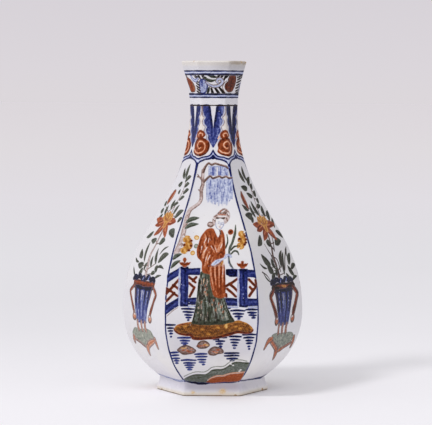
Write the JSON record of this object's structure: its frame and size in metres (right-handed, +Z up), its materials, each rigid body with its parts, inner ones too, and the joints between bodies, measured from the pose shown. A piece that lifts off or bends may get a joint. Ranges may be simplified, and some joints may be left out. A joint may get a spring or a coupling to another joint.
{
  "type": "bottle vase",
  "caption": "Hexagonal tin-glazed earthenware bottle vase with a swelling belly, slender neck, flared mouth and low flared foot, painted in blue, red, green and ochre.",
  "frame": {"origin": "middle of the foot, on the plane it stands on", "axes": "+Z up along the vase's axis, corners of the hexagon on the X axis, the painted front panel facing -Y"},
  "size_m": [0.1426, 0.1234, 0.2614],
  "materials": {
    "tin_glaze": "opaque milk-white tin glaze, glossy, painted under it in cobalt blue, iron red, copper green, ochre and manganese brown",
    "worn_lip_glaze": "tin glaze worn thin on the lip, with buff clay and brown stain at the edge",
    "foot_glaze": "tin glaze running out to bare buff clay on the standing edge"
  },
  "bodies": {
    "root": {"foot_ring": "foot_glaze", "base": "tin_glaze", "lower_body": "tin_glaze", "upper_body": "tin_glaze", "neck": "tin_glaze", "mouth": "worn_lip_glaze"}
  },
  "joints": []
}
